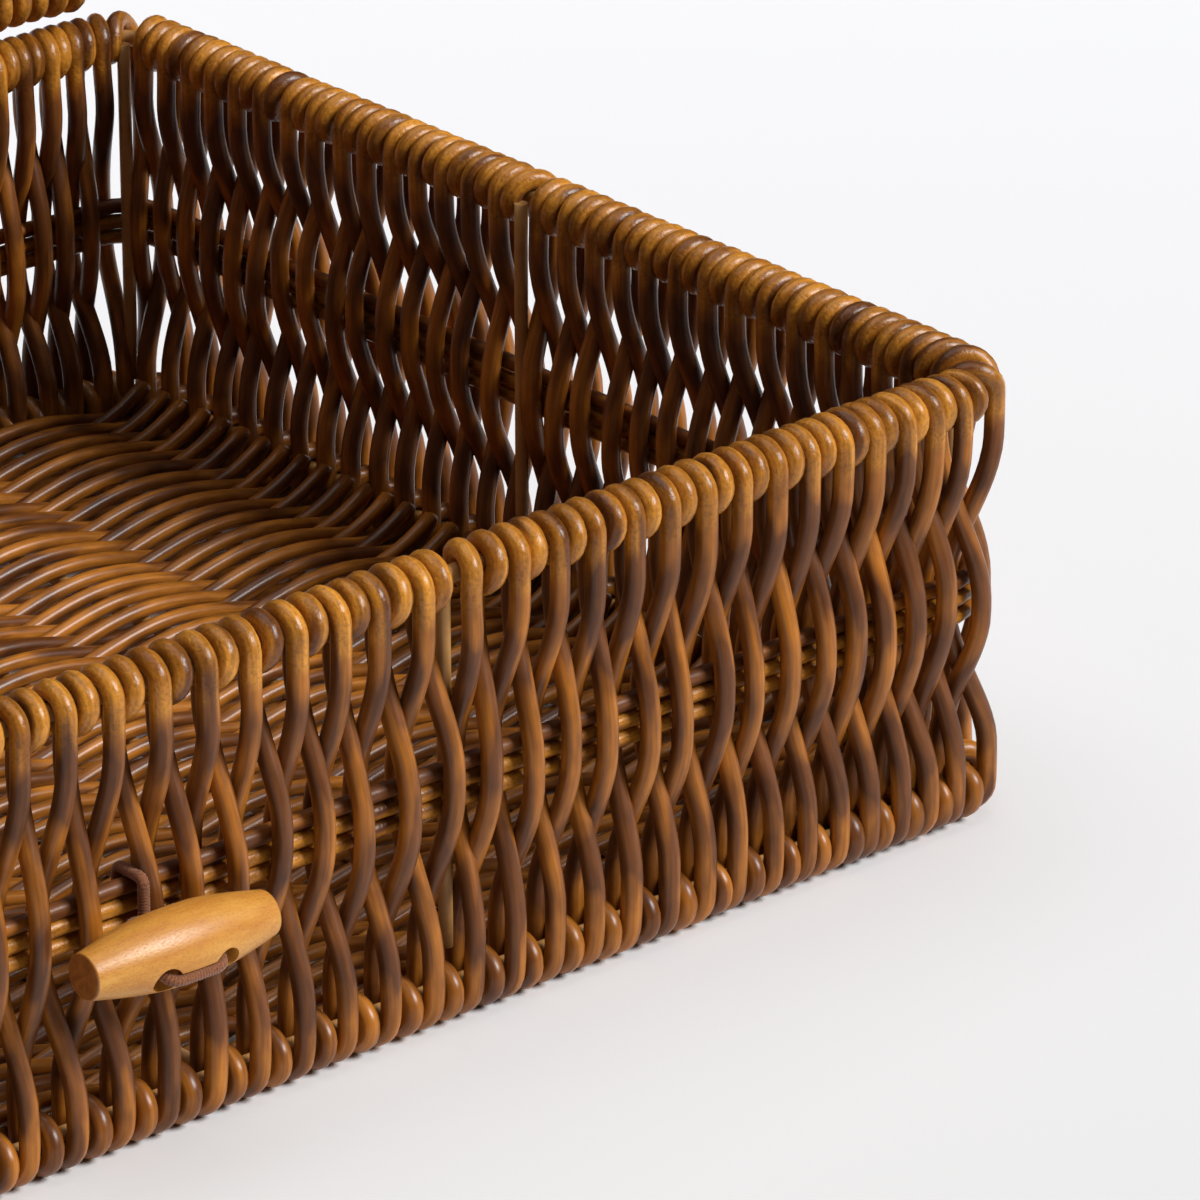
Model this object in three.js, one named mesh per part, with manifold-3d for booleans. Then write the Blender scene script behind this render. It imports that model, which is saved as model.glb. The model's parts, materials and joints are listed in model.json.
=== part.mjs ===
// A low rectangular woven basket: a painted wire frame, one strand wound up and down each wall,
// a woven floor, a flat woven lid tied to the back rail, and a wooden toggle on the front wall.
// Millimetres, +Z up, +X along the front wall, -Y to the front.
import * as THREE from 'three';
import { mergeVertices } from 'three/addons/utils/BufferGeometryUtils.js';
import Module from 'manifold-3d';

// Basket
const LENGTH = 466;
const DEPTH = 300;
const HEIGHT = 101;
const CORNER_RADIUS = 10;
const MID_BAND_HEIGHT = 48;

// Wire frame
const RAIL_DIAMETER = 4.4;
const UPRIGHT_DIAMETER = 3.5;
const RIB_DIAMETER = 3.5;
const RIB_COUNT = 10;
const UPRIGHT_BAY = 2;
const UPRIGHT_RISE = 4;

// Strands
const STRAND_WIDTH = 3.7;
const STRAND_THICKNESS = 4.5;
const FLOOR_THICKNESS = 3.2;
const WALL_SPACING = 5.4;
const FLOOR_SPACING = 10.5;
const LID_SPACING = 10;
const BAND_SIZE = 3.2;
const BAND_COUNT = 3;

// Lid
const LID_LENGTH = 436;
const LID_ROD_DIAMETER = 3.5;
const LID_ROD_COUNT = 5;
const LID_LEAN = 7.5;
const LID_SEAT_GAP = 0.5;
const TIE_BAY = 3.5;
const TIE_DIAMETER = 2.4;

// Toggle and its elastic
const TOGGLE_LENGTH = 45.5;
const TOGGLE_DIAMETER = 14.5;
const TOGGLE_END_DIAMETER = 9.5;
const TOGGLE_TILT = 3;
const TOGGLE_ROLL = 16;
const TOGGLE_DROP = 1.5;
const HOLE_SPACING = 14;
const HOLE_DIAMETER = 5;
const SCOOP_DEPTH = 4;
const SCOOP_WIDTH = 22;
const CORD_DIAMETER = 2.4;
const CORD_BEND = 1.7;

// Clearances
const GAP = 0.3;
const SLOT_CLEARANCE = 0.4;

// Facets
const RAIL_SIDES = 8;
const ROD_SIDES = 6;
const BAND_SIDES = 4;
const CORD_SIDES = 6;
const CORNER_STEPS = 4;
const CORD_STEPS = 3;
const TOGGLE_SIDES = 14;
const TOGGLE_STEPS = 8;
const SCOOP_SIDES = 48;
const HOLE_SIDES = 12;
const MERGE_DISTANCE = 1e-4;

// Places worked out from the sizes
const TURN_STEP = Math.PI / 3;
const WRAP_INNER = (RAIL_DIAMETER / 2 + GAP) / Math.cos(TURN_STEP / 2);
const WRAP_OUTER = WRAP_INNER + STRAND_THICKNESS;
const WRAP_RISE = WRAP_OUTER * Math.sin(TURN_STEP);
const HALF_X = LENGTH / 2 - WRAP_OUTER;
const HALF_Y = DEPTH / 2 - WRAP_OUTER;
const BOTTOM_Z = WRAP_RISE;
const TOP_Z = HEIGHT - WRAP_RISE;
const BAND_STEP = BAND_SIZE + GAP;
const BAND_HALF_STACK = ((BAND_COUNT - 1) * BAND_STEP + BAND_SIZE) / 2;
const UPRIGHT_OFFSET = Math.max(RAIL_DIAMETER, BAND_SIZE) / 2 + GAP + UPRIGHT_DIAMETER / 2;
const CORNER_INSET = CORNER_RADIUS - (CORNER_RADIUS - UPRIGHT_OFFSET) * Math.SQRT1_2;
const HINGE_Z = TOP_Z + 2 * WRAP_OUTER + LID_SEAT_GAP;
const LID_HALF_X = LID_LENGTH / 2 - WRAP_OUTER;
const LID_REACH = 2 * HALF_Y;
const BAY = (2 * HALF_X) / (RIB_COUNT + 1);
const UPRIGHT_X = UPRIGHT_BAY * BAY;
const TIE_X = TIE_BAY * BAY;
const ribPlaces = Array.from({ length: RIB_COUNT }, (_, i) => (i - (RIB_COUNT - 1) / 2) * BAY);
const MID_REACH = Math.min(TOP_Z - MID_BAND_HEIGHT, MID_BAND_HEIGHT - BOTTOM_Z);
const MID_CROSSING = { up: MID_BAND_HEIGHT, face: crossingFace(BAND_SIZE / 2, BAND_HALF_STACK, MID_REACH) };

const COLOURS = {
  strand: { color: 0x6e4628, roughness: 0.45, metalness: 0 },
  frame: { color: 0xc39660, roughness: 0.5, metalness: 0.2 },
  wood: { color: 0xd7a05a, roughness: 0.55, metalness: 0 },
  cord: { color: 0x6b4226, roughness: 0.9, metalness: 0 },
};

const wasm = await Module();
wasm.setup();

// Mesh from rings of points, joined ring to ring, with flat ends or closed into a loop
function loft(rings, closed) {
  const count = rings[0].length;
  const positions = rings.flat().flatMap((p) => [p.x, p.y, p.z]);
  const index = [];
  const last = closed ? rings.length : rings.length - 1;
  for (let r = 0; r < last; r += 1) {
    const here = r * count;
    const next = ((r + 1) % rings.length) * count;
    for (let i = 0; i < count; i += 1) {
      const j = (i + 1) % count;
      index.push(here + i, here + j, next + j);
      index.push(here + i, next + j, next + i);
    }
  }
  if (!closed) {
    const end = (rings.length - 1) * count;
    for (let i = 1; i < count - 1; i += 1) {
      index.push(0, i + 1, i);
      index.push(end, end + i, end + i + 1);
    }
  }
  const geometry = new THREE.BufferGeometry();
  geometry.setAttribute('position', new THREE.Float32BufferAttribute(positions, 3));
  geometry.setIndex(signedVolume(rings.flat(), index) < 0 ? index.reverse() : index);
  geometry.computeVertexNormals();
  return geometry;
}

function signedVolume(points, index) {
  let volume = 0;
  for (let i = 0; i < index.length; i += 3) {
    const [a, b, c] = [points[index[i]], points[index[i + 1]], points[index[i + 2]]];
    volume += a.dot(new THREE.Vector3().crossVectors(b, c));
  }
  return volume;
}

// Corners of a regular section, as [across, up] pairs with flat sides facing across and up
function regularSection(diameter, sides) {
  const radius = diameter / 2 / Math.cos(Math.PI / sides);
  return Array.from({ length: sides }, (_, i) => {
    const angle = ((2 * i + 1) * Math.PI) / sides;
    return [radius * Math.cos(angle), radius * Math.sin(angle)];
  });
}

// Closed tube round a rounded rectangle in the plane of the axes u and v
function roundedLoop({ centre, u, v, halfU, halfV, radius, section, steps = CORNER_STEPS }) {
  const w = new THREE.Vector3().crossVectors(u, v);
  const rings = [];
  for (let quarter = 0; quarter < 4; quarter += 1) {
    const [signU, signV] = [[1, 1], [-1, 1], [-1, -1], [1, -1]][quarter];
    for (let i = 0; i <= steps; i += 1) {
      const angle = ((quarter + i / steps) * Math.PI) / 2;
      const out = u.clone().multiplyScalar(Math.cos(angle)).addScaledVector(v, Math.sin(angle));
      const axis = centre.clone()
        .addScaledVector(u, signU * (halfU - radius))
        .addScaledVector(v, signV * (halfV - radius))
        .addScaledVector(out, radius);
      const corner = ([across, up]) => axis.clone().addScaledVector(out, across).addScaledVector(w, up);
      rings.push(section.map(corner));
    }
  }
  return loft(rings, true);
}

// Straight rod between two points
function rod(from, to, diameter) {
  const length = from.distanceTo(to);
  const radius = diameter / 2;
  const geometry = new THREE.CylinderGeometry(radius, radius, length, ROD_SIDES);
  const direction = to.clone().sub(from).normalize();
  geometry.applyQuaternion(new THREE.Quaternion().setFromUnitVectors(Y, direction));
  const middle = from.clone().add(to).multiplyScalar(0.5);
  return geometry.translate(middle.x, middle.y, middle.z);
}

const X = new THREE.Vector3(1, 0, 0);
const Y = new THREE.Vector3(0, 1, 0);
const Z = new THREE.Vector3(0, 0, 1);
const point = (x, y, z) => new THREE.Vector3(x, y, z);

// Strand positions between slots that stay free for uprights, ribs and ties: an even number in each bay
function strandPlaces(slots, spacing) {
  const bays = [];
  for (let i = 0; i + 1 < slots.length; i += 1) {
    const from = slots[i].at + slots[i].half;
    const to = slots[i + 1].at - slots[i + 1].half;
    const pairs = Math.max(1, Math.round((to - from + spacing) / (2 * spacing)));
    const step = (to - from) / (2 * pairs - 1);
    bays.push(...Array.from({ length: 2 * pairs }, (_, k) => from + k * step));
  }
  return bays;
}

// How far a strand's face stands from the panel's middle at a crossing, to clear the crossing's corners
function crossingFace(halfThickness, halfHeight, reach) {
  const share = halfHeight / reach;
  return (halfThickness + GAP + share * WRAP_OUTER) / (1 - share);
}

// One strand wound up and down a panel, round the rails at both edges and in and out at each crossing.
// place(along, out, up) gives a point, and side(along) the direction along the panel.
function panelStrand(places, lowRail, highRail, crossings, place, side) {
  const rings = [];
  const addRing = (along, face, back) => {
    const flank = side(along).clone().multiplyScalar(STRAND_WIDTH / 2);
    const outer = place(along, face[0], face[1]);
    rings.push([outer.clone().sub(flank), outer.clone().add(flank), place(along, back[0], back[1])]);
  };
  const addTurn = (along, rail, angle) => {
    const [c, s] = [Math.cos(angle), Math.sin(angle)];
    addRing(along, [WRAP_OUTER * c, rail + WRAP_OUTER * s], [WRAP_INNER * c, rail + WRAP_INNER * s]);
  };
  const addCrossing = (along, crossing, facing, inside) => {
    const near = -inside * crossing.face;
    const far = -inside * (crossing.face + STRAND_THICKNESS);
    const [face, back] = facing === inside ? [near, far] : [far, near];
    addRing(along, [face, crossing.up], [back, crossing.up]);
  };
  addTurn(places[0], lowRail, -TURN_STEP);
  for (let i = 0; i < places.length; i += 2) {
    const [up, down] = [places[i], places[i + 1]];
    addTurn(up, lowRail, 0);
    crossings.forEach((crossing, k) => addCrossing(up, crossing, 1, k % 2 ? -1 : 1));
    for (let turn = 0; turn <= 3; turn += 1) {
      addTurn(up + ((down - up) * turn) / 3, highRail, turn * TURN_STEP);
    }
    crossings.slice().reverse().forEach((crossing, k) => addCrossing(down, crossing, -1, k % 2 ? 1 : -1));
    addTurn(down, lowRail, Math.PI);
    addTurn(down + ((places[i + 2] ?? down) - down) / 3, lowRail, Math.PI + TURN_STEP);
    if (i + 2 < places.length) {
      addTurn(down + ((places[i + 2] - down) * 2) / 3, lowRail, Math.PI + 2 * TURN_STEP);
    }
  }
  return loft(rings, false);
}

// Wall strands: each wall runs along its straight side and half way round the corner at each end
const wallSlotHalf = Math.max(UPRIGHT_DIAMETER, RIB_DIAMETER) / 2 + SLOT_CLEARANCE + STRAND_WIDTH / 2;
const cornerSlotHalf = (wallSlotHalf * CORNER_RADIUS) / (CORNER_RADIUS - UPRIGHT_OFFSET);
const cornerArc = (Math.PI / 4) * CORNER_RADIUS;

function wallStrand(turn, halfAlong, halfAcross, slots) {
  const straight = halfAlong - CORNER_RADIUS;
  const bend = (along) => Math.sign(along) * (Math.max(0, Math.abs(along) - straight) / CORNER_RADIUS);
  const place = (along, out, up) => {
    const angle = bend(along);
    const reach = CORNER_RADIUS + out;
    const x = THREE.MathUtils.clamp(along, -straight, straight) + reach * Math.sin(angle);
    const y = -(halfAcross - CORNER_RADIUS) - reach * Math.cos(angle);
    return point(x, y, up).applyAxisAngle(Z, turn);
  };
  const side = (along) => point(Math.cos(bend(along)), Math.sin(bend(along)), 0).applyAxisAngle(Z, turn);
  const end = { at: straight + cornerArc, half: cornerSlotHalf };
  const inOrder = slots.toSorted((a, b) => a.at - b.at);
  const places = strandPlaces([{ at: -end.at, half: end.half }, ...inOrder, end], WALL_SPACING);
  return panelStrand(places, BOTTOM_Z, TOP_Z, [MID_CROSSING], place, side);
}

// Corner strand: hooked under the bottom rail, up outside the mid band and hooked over the top rail
function cornerStrand(turn, halfAlong, halfAcross) {
  const diagonal = Math.PI / 4;
  const out = point(Math.SQRT1_2, -Math.SQRT1_2, 0);
  const centre = point(halfAlong - CORNER_RADIUS, -(halfAcross - CORNER_RADIUS), 0);
  const flank = point(Math.cos(diagonal), Math.sin(diagonal), 0).multiplyScalar(STRAND_WIDTH / 2);
  const place = (reach, up) => centre.clone().addScaledVector(out, CORNER_RADIUS + reach).setZ(up);
  const rings = [];
  const addRing = (outer, inner) => {
    const face = place(...outer);
    rings.push([face.clone().sub(flank), face.clone().add(flank), place(...inner)]);
  };
  const addTurn = (rail, angle) => {
    const [c, s] = [Math.cos(angle), Math.sin(angle)];
    addRing([WRAP_OUTER * c, rail + WRAP_OUTER * s], [WRAP_INNER * c, rail + WRAP_INNER * s]);
  };
  [-2, -1, 0].forEach((step) => addTurn(BOTTOM_Z, step * TURN_STEP));
  addRing([MID_CROSSING.face + STRAND_THICKNESS, MID_CROSSING.up], [MID_CROSSING.face, MID_CROSSING.up]);
  [0, 1, 2].forEach((step) => addTurn(TOP_Z, step * TURN_STEP));
  return loft(rings.map((ring) => ring.map((p) => p.applyAxisAngle(Z, turn))), false);
}

// Floor strand: back and forth along X, over and under the ribs, in opposite phase on each pass
function floorStrand() {
  const wallFace = Math.max(WRAP_OUTER, CORNER_INSET + UPRIGHT_DIAMETER / 2) + STRAND_WIDTH + GAP;
  const reachX = HALF_X - wallFace;
  const reachY = HALF_Y - wallFace;
  const passes = Math.floor((2 * reachY) / FLOOR_SPACING) + 1;
  const step = (2 * reachY) / (passes - 1);
  const lift = RIB_DIAMETER / 2 + GAP;
  const rings = [];
  const addRing = (x, y, low, flank) => {
    const top = point(x, y, BOTTOM_Z + low + FLOOR_THICKNESS);
    rings.push([top.clone().sub(flank), top.clone().add(flank), point(x, y, BOTTOM_Z + low)]);
  };
  for (let pass = 0; pass < passes; pass += 1) {
    const way = pass % 2 ? -1 : 1;
    const y = -reachY + pass * step;
    const flank = Y.clone().multiplyScalar((way * STRAND_WIDTH) / 2);
    const slant = point(-1, way, 0).normalize().multiplyScalar(STRAND_WIDTH / 2);
    addRing(-way * reachX, y, -FLOOR_THICKNESS / 2, pass === 0 ? flank : slant);
    ribPlaces.forEach((x, k) => {
      const over = (k + pass) % 2 === 0;
      addRing(way * x, y, over ? lift : -lift - FLOOR_THICKNESS, flank);
    });
    addRing(way * reachX, y, -FLOOR_THICKNESS / 2, pass === passes - 1 ? flank : slant);
  }
  return loft(rings, false);
}

// Lid strand, wound from the lid's front rail over its back rail and in and out of its cross rods,
// so that it passes from bay to bay at the front and leaves the back rail bare at the ties
const lidRodStep = LID_REACH / (LID_ROD_COUNT + 1);
const lidRodHeights = Array.from({ length: LID_ROD_COUNT }, (_, i) => (i + 1) * lidRodStep);

function lidStrand() {
  const tieSlot = TIE_DIAMETER / 2 + SLOT_CLEARANCE + STRAND_WIDTH / 2;
  const end = { at: LID_HALF_X - CORNER_RADIUS, half: 0 };
  const ties = [-TIE_X, TIE_X].map((at) => ({ at, half: tieSlot }));
  const face = crossingFace(LID_ROD_DIAMETER / 2, LID_ROD_DIAMETER / 2, lidRodStep);
  const crossings = lidRodHeights.map((up) => ({ up, face }));
  const place = (along, out, up) => point(along, out, LID_REACH - up);
  const places = strandPlaces([{ at: -end.at, half: 0 }, ...ties, end], LID_SPACING);
  return panelStrand(places, 0, LID_REACH, crossings, place, () => X);
}

// Toggle bar: a turned barrel along X with two holes, and scooped seats for the elastic on both faces
function solidFrom(geometry) {
  const bare = geometry.clone();
  bare.deleteAttribute('normal');
  bare.deleteAttribute('uv');
  const merged = mergeVertices(bare, MERGE_DISTANCE);
  const vertProperties = new Float32Array(merged.attributes.position.array);
  const triVerts = new Uint32Array(merged.index.array);
  return new wasm.Manifold(new wasm.Mesh({ numProp: 3, vertProperties, triVerts }));
}

function geometryFrom(solid) {
  const mesh = solid.getMesh();
  const geometry = new THREE.BufferGeometry();
  geometry.setAttribute('position', new THREE.Float32BufferAttribute(mesh.vertProperties, 3));
  geometry.setIndex(Array.from(mesh.triVerts));
  geometry.computeVertexNormals();
  return geometry;
}

const SCOOP_RADIUS = ((SCOOP_WIDTH / 2) ** 2 + SCOOP_DEPTH ** 2) / (2 * SCOOP_DEPTH);
const SCOOP_FLOOR = TOGGLE_DIAMETER / 2 - SCOOP_DEPTH;

function toggleBar() {
  const profile = [new THREE.Vector2(0, -TOGGLE_LENGTH / 2)];
  for (let i = 0; i <= TOGGLE_STEPS; i += 1) {
    const share = (2 * i) / TOGGLE_STEPS - 1;
    const swell = (TOGGLE_DIAMETER - TOGGLE_END_DIAMETER) * Math.cos((share * Math.PI) / 2);
    profile.push(new THREE.Vector2((TOGGLE_END_DIAMETER + swell) / 2, (share * TOGGLE_LENGTH) / 2));
  }
  profile.push(new THREE.Vector2(0, TOGGLE_LENGTH / 2));
  let bar = solidFrom(new THREE.LatheGeometry(profile, TOGGLE_SIDES).rotateZ(-Math.PI / 2));
  const cutLength = 2 * TOGGLE_DIAMETER;
  for (const sign of [-1, 1]) {
    const scoop = new THREE.CylinderGeometry(SCOOP_RADIUS, SCOOP_RADIUS, cutLength, SCOOP_SIDES);
    scoop.rotateX(Math.PI / 2).translate(0, sign * (SCOOP_FLOOR + SCOOP_RADIUS), 0);
    bar = bar.subtract(solidFrom(scoop));
    const hole = new THREE.CylinderGeometry(HOLE_DIAMETER / 2, HOLE_DIAMETER / 2, cutLength, HOLE_SIDES);
    bar = bar.subtract(solidFrom(hole.translate((sign * HOLE_SPACING) / 2, 0, 0)));
  }
  return geometryFrom(bar);
}

// Elastic: a closed loop through both holes, which clears the seats at the holes' inner edges
const bridgeHalf = (HOLE_SPACING - HOLE_DIAMETER) / 2;
const seatRise = SCOOP_RADIUS - Math.sqrt(SCOOP_RADIUS ** 2 - bridgeHalf ** 2);
const cordReach = SCOOP_FLOOR + seatRise + GAP + CORD_DIAMETER / 2;

function toggleCord() {
  return roundedLoop({
    centre: point(0, 0, 0),
    u: X,
    v: Y,
    halfU: HOLE_SPACING / 2,
    halfV: cordReach,
    radius: CORD_BEND,
    section: regularSection(CORD_DIAMETER, CORD_SIDES),
    steps: CORD_STEPS,
  });
}

// Tie that holds the lid's back rail above the basket's, as an upright loop round both
function hingeTie(x) {
  const inner = RAIL_DIAMETER / 2 + GAP + TIE_DIAMETER / 2;
  return roundedLoop({
    centre: point(x, HALF_Y, (TOP_Z + HINGE_Z) / 2),
    u: Y,
    v: Z,
    halfU: inner,
    halfV: (HINGE_Z - TOP_Z) / 2 + inner,
    radius: inner,
    section: regularSection(TIE_DIAMETER, CORD_SIDES),
    steps: CORD_STEPS,
  });
}

// Loop of the elastic round the mid band, standing out as far as the strands beside it
const anchorBack = BAND_SIZE / 2 + GAP + CORD_DIAMETER / 2;
const anchorFront = MID_CROSSING.face + STRAND_THICKNESS - CORD_DIAMETER / 2;

function anchorLoop() {
  return roundedLoop({
    centre: point(0, -HALF_Y - (anchorFront - anchorBack) / 2, MID_BAND_HEIGHT),
    u: Y,
    v: Z,
    halfU: (anchorFront + anchorBack) / 2,
    halfV: BAND_HALF_STACK + GAP + CORD_DIAMETER / 2,
    radius: CORD_BEND,
    section: regularSection(CORD_DIAMETER, CORD_SIDES),
    steps: CORD_STEPS,
  });
}

// Assembly
const group = new THREE.Group();

function add(parent, name, geometry, colour) {
  const mesh = new THREE.Mesh(geometry, new THREE.MeshStandardMaterial(COLOURS[colour]));
  mesh.name = name;
  parent.add(mesh);
  return mesh;
}

function perimeterLoop(z, section) {
  const halves = { halfU: HALF_X, halfV: HALF_Y, radius: CORNER_RADIUS };
  return roundedLoop({ centre: point(0, 0, z), u: X, v: Y, ...halves, section });
}

const railSection = regularSection(RAIL_DIAMETER, RAIL_SIDES);
add(group, 'bottom_rail', perimeterLoop(BOTTOM_Z, railSection), 'frame');
add(group, 'top_rail', perimeterLoop(TOP_Z, railSection), 'frame');

for (let i = 0; i < BAND_COUNT; i += 1) {
  const z = MID_BAND_HEIGHT + (i - (BAND_COUNT - 1) / 2) * BAND_STEP;
  add(group, `mid_band_${i + 1}`, perimeterLoop(z, regularSection(BAND_SIZE, BAND_SIDES)), 'strand');
}

const upright = (x, y) => rod(point(x, y, BOTTOM_Z), point(x, y, TOP_Z + UPRIGHT_RISE), UPRIGHT_DIAMETER);
[[1, -1], [1, 1], [-1, 1], [-1, -1]].forEach(([signX, signY], i) => {
  const geometry = upright(signX * (HALF_X - CORNER_INSET), signY * (HALF_Y - CORNER_INSET));
  add(group, `corner_post_${i + 1}`, geometry, 'frame');
});
for (const [name, sign] of [['left', -1], ['right', 1]]) {
  const x = sign * UPRIGHT_X;
  add(group, `front_upright_${name}`, upright(x, -HALF_Y + UPRIGHT_OFFSET), 'frame');
  add(group, `back_upright_${name}`, upright(x, HALF_Y - UPRIGHT_OFFSET), 'frame');
  add(group, `side_upright_${name}`, upright(sign * (HALF_X - UPRIGHT_OFFSET), 0), 'frame');
}

const ribReach = HALF_Y - RAIL_DIAMETER / 2 - GAP;
ribPlaces.forEach((x, k) => {
  const geometry = rod(point(x, -ribReach, BOTTOM_Z), point(x, ribReach, BOTTOM_Z), RIB_DIAMETER);
  add(group, `floor_rib_${k + 1}`, geometry, 'frame');
});

const wireSlots = (places) => places.map((at) => ({ at, half: wallSlotHalf }));
const longSlots = wireSlots([...ribPlaces, -UPRIGHT_X, UPRIGHT_X]);
const frontSlots = [...longSlots, { at: 0, half: CORD_DIAMETER / 2 + SLOT_CLEARANCE + STRAND_WIDTH / 2 }];
add(group, 'front_wall_strand', wallStrand(0, HALF_X, HALF_Y, frontSlots), 'strand');
add(group, 'right_wall_strand', wallStrand(Math.PI / 2, HALF_Y, HALF_X, wireSlots([0])), 'strand');
add(group, 'back_wall_strand', wallStrand(Math.PI, HALF_X, HALF_Y, longSlots), 'strand');
add(group, 'left_wall_strand', wallStrand(-Math.PI / 2, HALF_Y, HALF_X, wireSlots([0])), 'strand');
for (let corner = 0; corner < 4; corner += 1) {
  const halves = corner % 2 ? [HALF_Y, HALF_X] : [HALF_X, HALF_Y];
  add(group, `corner_strand_${corner + 1}`, cornerStrand((corner * Math.PI) / 2, ...halves), 'strand');
}
add(group, 'floor_strand', floorStrand(), 'strand');
add(group, 'hinge_tie_left', hingeTie(-TIE_X), 'strand');
add(group, 'hinge_tie_right', hingeTie(TIE_X), 'strand');
add(group, 'toggle_anchor_loop', anchorLoop(), 'cord');

const lid = new THREE.Group();
lid.position.set(0, HALF_Y, HINGE_Z);
lid.rotation.x = THREE.MathUtils.degToRad(-LID_LEAN);
group.add(lid);
add(lid, 'lid_frame', roundedLoop({
  centre: point(0, 0, LID_REACH / 2),
  u: X,
  v: Z,
  halfU: LID_HALF_X,
  halfV: LID_REACH / 2,
  radius: CORNER_RADIUS,
  section: railSection,
}), 'frame');
const lidRodReach = LID_HALF_X - RAIL_DIAMETER / 2 - GAP;
lidRodHeights.forEach((z, i) => {
  const geometry = rod(point(-lidRodReach, 0, z), point(lidRodReach, 0, z), LID_ROD_DIAMETER);
  add(lid, `lid_rod_${i + 1}`, geometry, 'frame');
});
add(lid, 'lid_strand', lidStrand(), 'strand');

const toggle = new THREE.Group();
const toggleStandOff = anchorFront + CORD_DIAMETER / 2 + GAP + CORD_DIAMETER / 2 + cordReach;
toggle.position.set(0, -HALF_Y - toggleStandOff, MID_BAND_HEIGHT - TOGGLE_DROP);
toggle.rotation.set(THREE.MathUtils.degToRad(TOGGLE_ROLL), THREE.MathUtils.degToRad(TOGGLE_TILT), 0);
group.add(toggle);
add(toggle, 'toggle_bar', toggleBar(), 'wood');
add(toggle, 'toggle_cord', toggleCord(), 'cord');

// The origin is the middle of the whole object's footprint, on the surface that it stands on
group.updateMatrixWorld(true);
const box = new THREE.Box3().setFromObject(group, true);
const middle = box.getCenter(new THREE.Vector3());
group.position.set(-middle.x, -middle.y, -box.min.z);

export default group;
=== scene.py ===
import json
import math

import bpy
import numpy as np
from mathutils import Matrix, Vector


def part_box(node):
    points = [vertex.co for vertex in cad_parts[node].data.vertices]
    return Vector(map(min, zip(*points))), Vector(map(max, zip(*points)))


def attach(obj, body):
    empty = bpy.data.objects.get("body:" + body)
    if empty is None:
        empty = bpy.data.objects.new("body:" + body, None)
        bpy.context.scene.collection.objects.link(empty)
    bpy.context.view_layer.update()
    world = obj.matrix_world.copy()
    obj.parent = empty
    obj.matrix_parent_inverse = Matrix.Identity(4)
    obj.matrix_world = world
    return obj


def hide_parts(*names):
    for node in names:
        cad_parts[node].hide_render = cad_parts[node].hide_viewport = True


# Looks of a lidded woven basket: round two-tone strands on a painted wire frame. Metres, +Z up.
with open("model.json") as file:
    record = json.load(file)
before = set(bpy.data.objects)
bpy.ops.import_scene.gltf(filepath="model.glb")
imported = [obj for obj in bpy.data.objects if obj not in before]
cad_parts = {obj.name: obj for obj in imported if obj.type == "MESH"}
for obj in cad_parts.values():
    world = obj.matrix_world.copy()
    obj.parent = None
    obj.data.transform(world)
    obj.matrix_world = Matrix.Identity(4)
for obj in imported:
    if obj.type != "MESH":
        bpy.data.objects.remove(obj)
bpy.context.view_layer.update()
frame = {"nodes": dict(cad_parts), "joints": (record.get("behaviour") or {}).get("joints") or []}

MM = 0.001
SEED = 11

# Camera, fitted to the straight rims and the ground line of the photograph
IMAGE_PIXELS = 1200
FOCAL_PIXELS = 7860
SENSOR = 36
CAMERA_AZIMUTH = math.radians(-41.31)
CAMERA_ELEVATION = math.radians(23.76)
CAMERA_DISTANCE = 1533.5 * MM
CAMERA_AIM = Vector((112.3, -150, 82.2)) * MM

# Sizes of the strands and wires, and how they lie to each other
STRAND_RADIUS = 2.2 * MM
STRAND_VARIES = 0.08
SWELL_LENGTHS = np.array([1600, 640, 290]) * MM
RAIL_RADIUS = 1.85 * MM
UPRIGHT_RADIUS = 1.55 * MM
CORNER_RADIUS = 10 * MM
WRAP_RISE = RAIL_RADIUS + STRAND_RADIUS
WRAP_REACH = 4.5 * MM
BAND_RADIUS = 1.75 * MM
BAND_SPACING = 3.8 * MM
BAND_LIFT = 2 * MM
BAND_WAVE = 0.25 * MM
BAND_WAVE_CYCLES = (17, 29, 43)
CROSSING_GAP = 0.1 * MM
CROSSING_REACH = BAND_RADIUS + STRAND_RADIUS + CROSSING_GAP
CROSSING_HALF = 0.37
CROSSING_SHIFT = 0.09
FLOOR_RADIUS = 1.7 * MM
FLOOR_PITCH = 3.6 * MM
FLOOR_SWING = 3.4 * MM
FLOOR_END_RISE = 6.5 * MM
FLOOR_STRAY = 0.25 * MM
FLOOR_BOW = 0.3 * MM
LID_CORNER_RADIUS = 5 * MM
LID_OVERHANG = 4 * MM

# Sides and steps of tubes, turns, runs and corners
STRAND_SIDES = 12
FLOOR_SIDES = 10
WRAP_STEPS = 46
RUN_STEPS = 24
RAIL_STEP = 0.1 * MM
ROUND_STEP = 4 * MM
TIE_STEP = 0.8 * MM
ROD_RINGS = 9
BAY_STEPS = 12
HOOK_STEPS = 8
LID_CORNER_STEPS = 9
LID_RAIL_STEPS = 12
EDGE_ARC_STEPS = 40
EDGE_SIDE_STEPS = 200
EDGE_TURN_STEPS = 24
LOOP_CORNER_STEPS = 10

# Steps along a winding: the fine path, the rings kept of it near the rails and on the runs, and the
# length over which its sidewise bends are rounded
FINE_STEP = 0.8 * MM
WRAP_RING_STEP = 1.1 * MM
RUN_RING_STEP = 2.6 * MM
WRAP_ZONE = 8 * MM
BEND_LENGTH = 3 * MM

# Loop pitch at the middle of a long wall, its loss towards the corners, and the pitch elsewhere
LONG_PITCH = 5.5 * MM
LONG_PITCH_LOSS = 1.72 * MM
SIDE_PITCH = 4.7 * MM
CORNER_PITCH = 5.2 * MM
LID_PITCH = 5.3 * MM

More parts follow.
